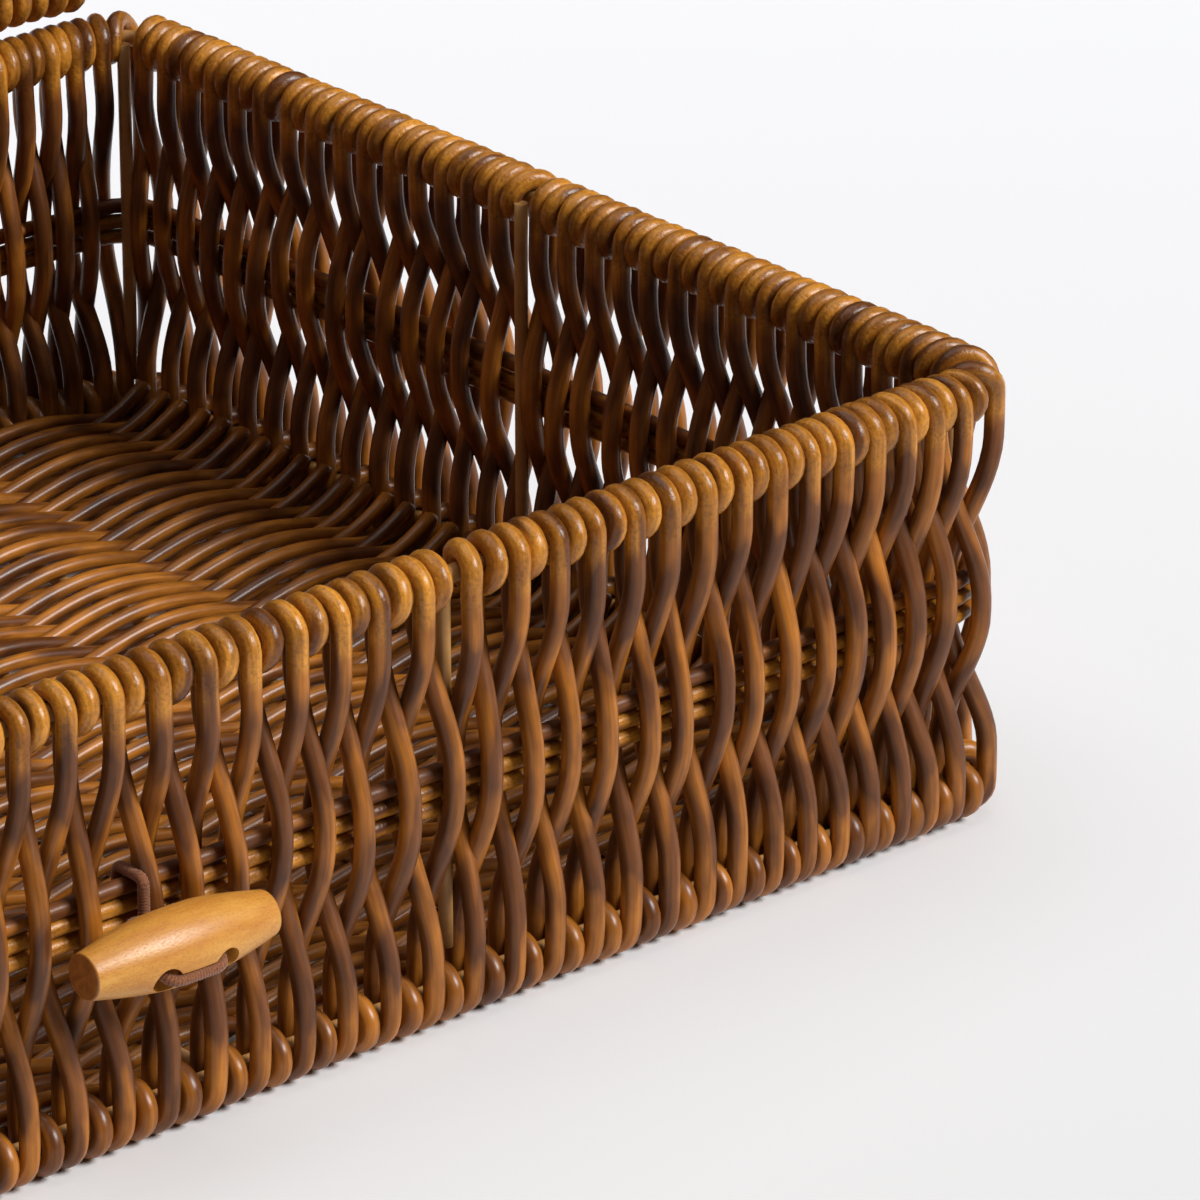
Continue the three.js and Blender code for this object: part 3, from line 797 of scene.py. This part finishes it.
def weave_walls():
    """Fine path of the whole winding, the index under the bottom rail before each period's run up, and
    the corners' periods."""
    distances, table, total = winding_table()

    def place_of(count):
        return float(np.interp(count, table, distances))

    periods = total // LOOPS_PER_PERIOD
    first = math.ceil(table[len(RAIL_AT) - 1] / LOOPS_PER_PERIOD)
    spots = [wall_spots(first + i, place_of) for i in range(periods)]
    starts = [here["up_low"] for here in spots]
    starts.append(starts[0] + ROUND)
    runs = []
    for here, following in zip(spots, starts[1:]):
        runs.append(period_points(here, following, BOTTOM_RAIL.z, TOP_RAIL.z, [BAND_Z]))
    path, firsts = winding_path(runs, runs[0][0] + [ROUND, 0, 0])
    firsts = firsts - round(math.pi / 2 * WRAP_RISE / FINE_STEP)
    cuts = {}
    for corner, at in CORNER_AT.items():
        gaps = [abs((here["up_high"] - at + ROUND / 2) % ROUND - ROUND / 2) for here in spots]
        cuts[int(np.argmin(gaps))] = corner
    return path, firsts, cuts


def make_wall_pieces():
    path, firsts, cuts = weave_walls()
    count = len(path)
    distances = rail_distances(path, BOTTOM_RAIL.z, TOP_RAIL.z)
    kept = np.zeros(count, bool)
    kept[ring_choice(distances)] = True
    radii = strand_radii(count)
    tones = strand_tones(distances)
    # Painted shade: the strands lean to brown lower on the walls, where less light reaches, which also
    # takes the paler honey off the bottom loops
    tones *= np.interp(path[:, 2], (BOTTOM_RAIL.z, BAND_Z), (PAINTED_SHADE_LOW_SHARE, 1))
    places = rail_place(*path.T)

    def make_piece(name, first, last, node):
        span = np.arange(first, last + 1 if last > first else last + count + 1) % count
        keep = kept[span]
        keep[[0, -1]] = True
        rings = span[keep]
        piece = tube(name, places[rings], radii[rings], STRAND, tones=tones[rings])
        dress(piece, "basket", "strand", node)

    wall_after = {1: "right", 2: "back", 3: "left", 4: "front"}
    corners = sorted(cuts)
    for index, following in zip(corners, corners[1:] + corners[:1]):
        corner, wall = cuts[index], wall_after[cuts[index]]
        corner_end = firsts[(index + 1) % len(firsts)]
        make_piece(f"corner_weave_{corner}", firsts[index], corner_end, f"corner_strand_{corner}")
        make_piece(f"{wall}_wall_weave", corner_end, firsts[following], f"{wall}_wall_strand")


# Mid band and rails: closed rounds
def round_points(height, wave=0.0):
    """Closed round along the rail line at a height, which waves up and down a little."""
    count = round(ROUND / ROUND_STEP)
    at = np.arange(count) * ROUND / count
    lift = np.zeros(count)
    for cycles in BAND_WAVE_CYCLES:
        turn = draws.uniform(0, 2 * math.pi)
        lift += wave / len(BAND_WAVE_CYCLES) * np.sin(2 * math.pi * cycles * at / ROUND + turn)
    return rail_place(at, 0.0, height + lift)


def make_rounds():
    for node in ("top_rail", "bottom_rail"):
        piece = tube(f"{node}_wire", round_points(middle(node).z), RAIL_RADIUS, WIRE, closed=True)
        dress(piece, "basket", "frame_wire", node)
    for i, tone in enumerate(BAND_TONES):
        node = f"mid_band_{i + 1}"
        points = round_points(BAND_Z + (i - 1) * BAND_SPACING, wave=BAND_WAVE)
        piece = tube(f"{node}_strand", points, BAND_RADIUS, STRAND, closed=True, tones=tone)
        dress(piece, "basket", "strand", node)


def make_rod(node, body, start, stop):
    """Smooth wire in the place of a straight rod of the frame, cut to a stretch of its axis."""
    low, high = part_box(node)
    size = high - low
    axis = max(range(3), key=lambda i: size[i])
    radius = min(UPRIGHT_RADIUS, *(size[i] / 2 for i in range(3) if i != axis))
    points = np.tile(np.array((low + high) / 2), (ROD_RINGS, 1))
    points[:, axis] = np.linspace(max(low[axis], start), min(high[axis], stop), ROD_RINGS)
    piece = tube(f"{node}_wire", points, radius, WIRE)
    dress(piece, body, "frame_wire", node)


def make_wires():
    wrap_face = WRAP_REACH + STRAND_RADIUS
    wrap_top = BOTTOM_RAIL.z + WRAP_RISE + STRAND_RADIUS
    for node in frame["nodes"]:
        if "upright" in node or "post" in node:
            make_rod(node, "basket", wrap_top, TOP_RAIL.z)
        elif node.startswith("floor_rib"):
            reach = HALF_Y - wrap_face
            make_rod(node, "basket", CENTRE_Y - reach, CENTRE_Y + reach)
        elif node.startswith("lid_rod"):
            make_rod(node, "lid", wrap_face - LID_HALF_X, LID_HALF_X - wrap_face)


# Floor weave: one strand back and forth over and under the ribs
def make_floor():
    """One strand that starts each pass low at one wall and ends it high at the other, over the wraps."""
    high_end = HALF_X - WRAP_REACH - STRAND_RADIUS - FLOOR_RADIUS / 2
    low_end = high_end - FLOOR_RADIUS
    reach_y = HALF_Y - WRAP_REACH - STRAND_RADIUS - FLOOR_RADIUS
    passes = 2 * math.floor(reach_y / FLOOR_PITCH)
    pitch = 2 * reach_y / (passes - 1)
    last_rib = abs(RIB_PLACES[0])
    last_valley = last_rib + BAY / 2
    ahead = np.linspace(-low_end, high_end, BAY_STEPS * (RIB_COUNT + 1) + 1)
    to_high = np.clip(ahead - last_valley, 0, None)
    to_low = np.clip(-ahead - last_valley, 0, None)
    slope = FLOOR_SWING * math.pi / BAY
    level = -FLOOR_SWING * np.cos(math.pi * (np.clip(ahead, -last_valley, last_valley) - last_rib) / BAY)
    level += slope * (to_high - to_low)
    level += (FLOOR_END_RISE - slope * to_high[-1]) * (to_high / to_high[-1]) ** 2
    level += slope * to_low[0] / 2 * (to_low / to_low[0]) ** 2
    turn = np.linspace(-math.pi / 2, math.pi / 2, HOOK_STEPS)[1:-1]
    turned = (1 + np.sin(turn)) / 2
    points = []
    for number in range(passes):
        way = 1 if number % 2 == 0 else -1
        y = CENTRE_Y - reach_y + number * pitch + stray(FLOOR_STRAY)
        bow = stray(FLOOR_BOW) * np.cos(math.pi * ahead / (2 * high_end))
        points.append(np.stack([way * ahead, y + bow, BOTTOM_RAIL.z + level], -1))
        if number < passes - 1:
            hook_x = way * (high_end + (low_end - high_end) * turned + FLOOR_RADIUS / 2 * np.cos(turn))
            hook_z = BOTTOM_RAIL.z + level[-1] + (level[0] - level[-1]) * turned
            points.append(np.stack([hook_x, y + pitch * turned, hook_z], -1))
    points = np.concatenate(points)
    piece = tube("floor_weave", points, FLOOR_RADIUS, STRAND, sides=FLOOR_SIDES, tones=FLOOR_TONE)
    dress(piece, "basket", "strand", "floor_strand")


# Lid: its frame, rods and weave, in the place where it stands open
LID_RODS = sum(name.startswith("lid_rod") for name in frame["nodes"])
ROD_STEP = (middle(f"lid_rod_{LID_RODS}") - middle("lid_rod_1")) / (LID_RODS - 1)
LID_BACK = middle("lid_rod_1") - ROD_STEP
LID_UP = ROD_STEP.normalized()
LID_OUT = Vector((-1, 0, 0)).cross(LID_UP)
LID_REACH = ROD_STEP.length * (LID_RODS + 1)
LID_HALF_X = half_size("lid_frame").x - RAIL_HALF + LID_OVERHANG


def lid_place(along, out, up):
    """Points along the lid, out of its plane and up from its back rail."""
    plane = np.outer(out, LID_OUT) + np.outer(up, LID_UP)
    return np.array(LID_BACK) + plane + np.outer(along, (1, 0, 0))


def make_lid_frame():
    radius = LID_CORNER_RADIUS
    corners = []
    for quarter, (side, end) in enumerate(((1, 1), (-1, 1), (-1, -1), (1, -1))):
        angles = (quarter + np.linspace(0, 1, LID_CORNER_STEPS)) * math.pi / 2
        along = side * (LID_HALF_X - radius) + radius * np.cos(angles)
        up = LID_REACH / 2 + end * (LID_REACH / 2 - radius) + radius * np.sin(angles)
        corners.append(lid_place(along, np.zeros_like(along), up))
    loop = np.concatenate([*corners, corners[0][:1]])
    steps = [np.linspace(a, b, LID_RAIL_STEPS, endpoint=False) for a, b in zip(loop, loop[1:])]
    piece = tube("lid_frame_wire", np.concatenate(steps), RAIL_RADIUS, WIRE, closed=True)
    dress(piece, "lid", "frame_wire", "lid_frame")


def make_lid_weave():
    reach = LID_HALF_X - LID_CORNER_RADIUS
    periods = round(reach / LID_PITCH)
    pitch = 2 * reach / (LOOPS_PER_PERIOD * periods)
    rods = [ROD_STEP.length * (LID_RODS - i) for i in range(LID_RODS)]
    ties = [-TIE_X, TIE_X]
    starts = [-reach + LOOPS_PER_PERIOD * pitch * (i + LID_START_SHARE) for i in range(periods)]
    starts = [start + stray(LOOP_STRAY) for start in starts]
    starts.append(starts[-1] + LOOPS_PER_PERIOD * pitch)
    runs = []
    for start, following in zip(starts, starts[1:]):
        spots = {name: start + count * pitch for name, count in SPOT_COUNTS.items()}
        for name in ("up_middle", "down_middle"):
            spots[name] = [spots[name] + stray(MIDDLE_STRAY) for _ in rods]
        for name in HIGH_SPOTS:
            spots[name] = spread(spots[name], ties, CORD_ROOM)
        runs.append(period_points(spots, following, LID_REACH, 0, rods))
    path, _ = winding_path(runs, runs[-1][-1])
    distances = rail_distances(path, LID_REACH, 0)
    rings = ring_choice(distances)
    radii = strand_radii(len(path))[rings]
    tones = strand_tones(distances)[rings]
    piece = tube("lid_weave", lid_place(*path[rings].T), radii, STRAND, tones=tones)
    dress(piece, "lid", "strand", "lid_strand")


def make_lid_edges():
    """A strand wound round each side of the lid's frame, from corner to corner."""
    arc = np.linspace(0, math.pi / 2, EDGE_ARC_STEPS)
    straight = np.linspace(LID_CORNER_RADIUS, LID_REACH - LID_CORNER_RADIUS, EDGE_SIDE_STEPS)[1:-1]
    facing = np.concatenate([arc - math.pi / 2, np.zeros_like(straight), arc])
    along = LID_HALF_X - LID_CORNER_RADIUS + LID_CORNER_RADIUS * np.cos(facing)
    ends = np.full_like(arc, LID_CORNER_RADIUS)
    up = np.concatenate([ends, straight, LID_REACH - ends]) + LID_CORNER_RADIUS * np.sin(facing)
    lengths = np.concatenate([[0], np.cumsum(np.hypot(np.diff(along), np.diff(up)))])
    turns = round(lengths[-1] / SIDE_PITCH)
    at = np.linspace(0, lengths[-1], turns * EDGE_TURN_STEPS)
    angle = 2 * math.pi * turns * at / lengths[-1]
    facing, along, up = (np.interp(at, lengths, values) for values in (facing, along, up))
    in_plane = WRAP_RISE * np.cos(angle)
    for name, side in (("left", -1), ("right", 1)):
        edge = side * (along + in_plane * np.cos(facing))
        points = lid_place(edge, WRAP_REACH * np.sin(angle), up + in_plane * np.sin(facing))
        piece = tube(f"lid_edge_wrap_{name}", points, STRAND_RADIUS, STRAND, tones=EDGE_TONE)
        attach(piece, "lid")


# Ties and elastic
def rounded_loop(half_u, half_v, radius):
    """Closed rounded rectangle as (u, v) rows."""
    corners = []
    for quarter, (u_side, v_side) in enumerate(((1, 1), (-1, 1), (-1, -1), (1, -1))):
        angles = (quarter + np.linspace(0, 1, LOOP_CORNER_STEPS)) * math.pi / 2
        u = u_side * (half_u - radius) + radius * np.cos(angles)
        v = v_side * (half_v - radius) + radius * np.sin(angles)
        corners.append(np.stack([u, v], -1))
    return np.concatenate(corners)


def evenly(points, step):
    """The same closed path with points at an even step."""
    points = np.concatenate([points, points[:1]])
    lengths = lengths_along(points)
    at = np.linspace(0, lengths[-1], round(lengths[-1] / step), endpoint=False)
    return np.stack([np.interp(at, lengths, points[:, i]) for i in range(3)], -1)


def make_ties():
    for name in ("left", "right"):
        node = f"hinge_tie_{name}"
        half = half_size(node)
        radius = half.x
        loop = rounded_loop(half.y - radius, half.z - radius, half.y - radius)
        centre = np.array(middle(node))
        points = centre + np.column_stack([np.zeros(len(loop)), loop])
        piece = tube(f"{node}_strand", evenly(points, TIE_STEP), radius, STRAND, closed=True)
        dress(piece, "basket", "strand", node)


def ribbed_radii(points):
    lengths = lengths_along(points)
    ribs = round(lengths[-1] / ELASTIC_RIB)
    wave = np.cos(2 * math.pi * ribs * lengths / lengths[-1])
    return ELASTIC_RADIUS - ELASTIC_RIB_DEPTH * (1 - wave) / 2


def make_anchor_loop():
    """Loop of elastic round all three strands of the band, drawn in a little behind the toggle."""
    half = half_size("toggle_anchor_loop")
    radius = half.x
    top = BAND_Z + BAND_SPACING + BAND_RADIUS + 2 * radius
    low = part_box("toggle_anchor_loop")[0].z
    loop = rounded_loop(half.y - radius - ANCHOR_DRAW / 2, (top - low) / 2 - radius, ANCHOR_BEND)
    place = middle("toggle_anchor_loop")
    centre = np.array((place.x, place.y + ANCHOR_DRAW / 2, (top + low) / 2))
    points = evenly(centre + np.column_stack([np.zeros(len(loop)), loop]), ELASTIC_STEP)
    piece = tube("anchor_elastic", points, ribbed_radii(points), ELASTIC, closed=True)
    dress(piece, "basket", "elastic", "toggle_anchor_loop")


# Toggle: turned bar with two holes, a groove in front and a seat behind, and its elastic
TOGGLE_PIVOT = next(Vector(j["pos_m"]) for j in frame["joints"] if j["name"] == "toggle_swivel")
TOGGLE_PLACE = Matrix.Translation(TOGGLE_PIVOT)
TOGGLE_PLACE = TOGGLE_PLACE @ Matrix.Rotation(TOGGLE_ROLL, 4, "X") @ Matrix.Rotation(TOGGLE_TILT, 4, "Y")
SEAT_RADIUS = (SEAT_REACH**2 + SEAT_DEPTH**2) / (2 * SEAT_DEPTH)
SEAT_FLOOR = TOGGLE_RADIUS - SEAT_DEPTH
TURNS_FROM_X = {
    "X": Matrix(),
    "Y": Matrix.Rotation(math.pi / 2, 4, "Z"),
    "Z": Matrix.Rotation(math.pi / 2, 4, "Y"),
}


def lathe_mesh(name, profile, sides):
    """Closed mesh turned round X from (x, radius) pairs."""
    angles = np.arange(sides) * 2 * math.pi / sides
    vertices = [(x, r * math.cos(a), r * math.sin(a)) for x, r in profile for a in angles]
    faces = []
    for ring in range(len(profile) - 1):
        for i in range(sides):
            j = (i + 1) % sides
            here = ring * sides
            faces.append((here + i, here + j, here + sides + j, here + sides + i))
    last = (len(profile) - 1) * sides
    faces.append(tuple(range(sides))[::-1])
    faces.append(tuple(range(last, last + sides)))
    mesh = bpy.data.meshes.new(name)
    mesh.from_pydata(vertices, [], faces)
    return mesh


def toggle_profile():
    """Outline of the turned bar from end to end, as (x, radius) rows."""
    half = TOGGLE_LENGTH / 2
    body = []
    for share in np.linspace(-1, 1, PROFILE_STEPS + 1):
        swell = (TOGGLE_RADIUS - TOGGLE_END_RADIUS) * math.cos(share * math.pi / 2)
        body.append((share * (half - TOGGLE_EDGE), TOGGLE_END_RADIUS + swell))
    edge = []
    for angle in np.linspace(0, math.pi / 2, PROFILE_EDGE_STEPS)[1:]:
        x = half - TOGGLE_EDGE + TOGGLE_EDGE * math.sin(angle)
        edge.append((x, TOGGLE_END_RADIUS - TOGGLE_EDGE * (1 - math.cos(angle))))
    return [(-x, r) for x, r in reversed(edge)] + body + edge


def cutter(name, radius, axis, place, sides, reach=2 * TOGGLE_RADIUS):
    """Cylinder along an axis through a place, to be cut from the bar."""
    mesh = lathe_mesh(name, [(-reach, radius), (reach, radius)], sides)
    mesh.transform(Matrix.Translation(place) @ TURNS_FROM_X[axis])
    return bpy.data.objects.new(name, mesh)


def make_toggle_bar():
    mesh = lathe_mesh("toggle_bar_turned", toggle_profile(), TOGGLE_SIDES)
    bar = bpy.data.objects.new("toggle_bar_turned", mesh)
    bpy.context.scene.collection.objects.link(bar)
    seat_place = Vector((0, SEAT_FLOOR + SEAT_RADIUS, 0))
    groove_place = Vector((0, -GROOVE_PLACE, 0))
    cutters = [
        cutter("seat_cutter", SEAT_RADIUS, "Z", seat_place, SEAT_SIDES),
        cutter("groove_cutter", GROOVE_RADIUS, "X", groove_place, HOLE_SIDES, HOLE_REACH),
    ]
    for side in (-1, 1):
        hole_place = Vector((side * HOLE_REACH, 0, 0))
        cutters.append(cutter(f"hole_cutter_{side}", HOLE_RADIUS, "Y", hole_place, HOLE_SIDES))
    for tool in cutters:
        bpy.context.scene.collection.objects.link(tool)
        modifier = bar.modifiers.new(tool.name, "BOOLEAN")
        modifier.operation = "DIFFERENCE"
        modifier.solver = "EXACT"
        modifier.object = tool
    bevel = bar.modifiers.new("worn_edges", "BEVEL")
    bevel.width = WORN_WIDTH
    bevel.segments = WORN_STEPS
    bevel.limit_method = "ANGLE"
    bevel.angle_limit = WORN_ANGLE
    final = bpy.data.meshes.new_from_object(bar.evaluated_get(bpy.context.evaluated_depsgraph_get()))
    for tool in [bar, *cutters]:
        bpy.data.objects.remove(tool)
    final.polygons.foreach_set("use_smooth", np.ones(len(final.polygons), bool))
    final.set_sharp_from_angle(angle=SHARP_ANGLE)
    final.materials.clear()
    piece = new_piece("toggle_wood_bar", final, WOOD)
    piece.matrix_world = TOGGLE_PLACE
    dress(piece, "toggle", "toggle_wood", "toggle_bar")


def make_toggle_elastic():
    """Loop of elastic through both holes, which lies in the groove in front and the seat behind."""
    groove = GROOVE_PLACE - GROOVE_RADIUS + ELASTIC_RADIUS
    seat = SEAT_FLOOR + ELASTIC_RADIUS
    half = [(x * HOLE_REACH, -groove - lift * MM) for x, lift in ELASTIC_FRONT]
    half += [(x * HOLE_REACH, seat + lift * MM) for x, lift in ELASTIC_BEHIND]
    outline = half + [(-x, y) for x, y in half[-2:0:-1]]
    knots = evenly(np.array([(x, y, 0) for x, y in outline]), KNOT_STEP)
    for _ in range(KNOT_ROUNDINGS):
        knots = (np.roll(knots, 1, 0) + 2 * knots + np.roll(knots, -1, 0)) / 4
    points = evenly(knots, ELASTIC_STEP)
    piece = tube("toggle_elastic", points, ribbed_radii(points), ELASTIC, closed=True)
    piece.matrix_world = TOGGLE_PLACE
    dress(piece, "toggle", "elastic", "toggle_cord")


# Camera, floor and light
def make_camera():
    aim = CAMERA_AIM + Vector((0, CENTRE_Y, 0))
    back = Vector(
        (
            math.sin(CAMERA_AZIMUTH) * math.cos(CAMERA_ELEVATION),
            -math.cos(CAMERA_AZIMUTH) * math.cos(CAMERA_ELEVATION),
            math.sin(CAMERA_ELEVATION),
        )
    )
    data = bpy.data.cameras.new("photo_camera")
    data.sensor_width = SENSOR
    data.lens = SENSOR * FOCAL_PIXELS / IMAGE_PIXELS
    data.clip_end = VIEW_REACH
    camera = bpy.data.objects.new("photo_camera", data)
    camera.location = aim + back * CAMERA_DISTANCE
    camera.rotation_euler = back.to_track_quat("Z", "Y").to_euler()
    bpy.context.scene.collection.objects.link(camera)
    bpy.context.scene.camera = camera


def floor_material():
    """Pale floor with painted shade, a little darker in front."""
    material, tree, shader = new_material("pale_floor")
    place = add_node(tree, "ShaderNodeTexCoord").outputs["Object"]
    away = add_node(tree, "ShaderNodeVectorMath", operation="DOT_PRODUCT", links={0: place})
    away.inputs[1].default_value = (-math.sin(CAMERA_AZIMUTH), math.cos(CAMERA_AZIMUTH), 0)
    share = add_node(
        tree,
        "ShaderNodeMapRange",
        values={1: PAINTED_SHADE_FADE[0], 2: PAINTED_SHADE_FADE[1]},
        links={0: away.outputs["Value"]},
    ).outputs[0]
    # Painted shade: the floor darkens towards the front
    tree.links.new(tints(tree, share, FLOOR_PAINTED_SHADE_TO_PALE, places=(0, 1)), shader.inputs["Base Color"])
    shader.inputs["Roughness"].default_value = 0.9
    shader.inputs["Specular IOR Level"].default_value = 0.1
    return material


def make_floor_stage():
    reach = STAGE_REACH
    corners = [(-reach, -reach, 0), (reach, -reach, 0), (reach, reach, 0), (-reach, reach, 0)]
    mesh = bpy.data.meshes.new("pale_floor")
    mesh.from_pydata(corners, [], [(0, 1, 2, 3)])
    floor = new_piece("pale_floor", mesh, floor_material())


def add_lamp(name, direction, spread_angle, level):
    """Wide soft lamp from a direction, which alone shows a white face towards it at the level."""
    data = bpy.data.lights.new(name, "SUN")
    data.angle = math.radians(spread_angle)
    data.energy = level * math.pi
    lamp = bpy.data.objects.new(name, data)
    lamp.rotation_euler = Vector(direction).to_track_quat("Z", "Y").to_euler()
    bpy.context.scene.collection.objects.link(lamp)


def make_world():
    """Dim sky over a paler horizon."""
    world = bpy.data.worlds.new("studio")
    world.use_nodes = True
    tree = world.node_tree
    direction = add_node(tree, "ShaderNodeTexCoord").outputs["Generated"]
    height = add_node(tree, "ShaderNodeSeparateXYZ", links={0: direction}).outputs["Z"]
    colour = greys(tree, height, ((0, HORIZON_LEVEL), (SKY_HEIGHT, SKY_LEVEL)))
    tree.links.new(colour, tree.nodes["Background"].inputs["Color"])
    bpy.context.scene.world = world


def make_light():
    make_world()
    add_lamp("overhead_lamp", *OVERHEAD_LAMP)
    add_lamp("front_lamp", *FRONT_LAMP)
    bpy.context.scene.view_settings.view_transform = "Standard"


make_camera()
make_light()
make_floor_stage()
make_wall_pieces()
make_rounds()
make_wires()
make_floor()
make_lid_frame()
make_lid_weave()
make_lid_edges()
make_ties()
make_anchor_loop()
make_toggle_bar()
make_toggle_elastic()
